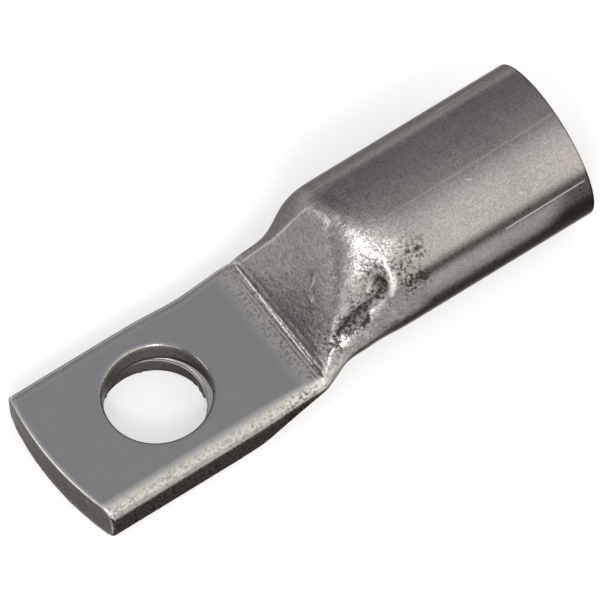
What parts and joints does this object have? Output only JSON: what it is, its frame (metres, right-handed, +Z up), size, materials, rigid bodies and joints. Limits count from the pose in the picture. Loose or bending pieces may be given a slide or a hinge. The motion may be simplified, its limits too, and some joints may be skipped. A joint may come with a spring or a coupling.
{
  "type": "cable lug",
  "caption": "Tubular copper cable lug: a tinned tube with one end pressed into a flat palm with a bolt hole, joined to the open barrel by a creased ramp.",
  "frame": {"origin": "on the axis of the bolt hole, at the palm's flat underside, which seats on the busbar", "axes": "+X from the bolt hole along the barrel towards the cable, +Z up through the palm, so the barrel rises on the +Z side"},
  "size_m": [0.057, 0.017, 0.0165],
  "materials": {
    "tinned_copper": "satin tin plating on copper, finely speckled by the bath"
  },
  "bodies": {
    "root": {"cable_lug": "tinned_copper"}
  },
  "joints": []
}
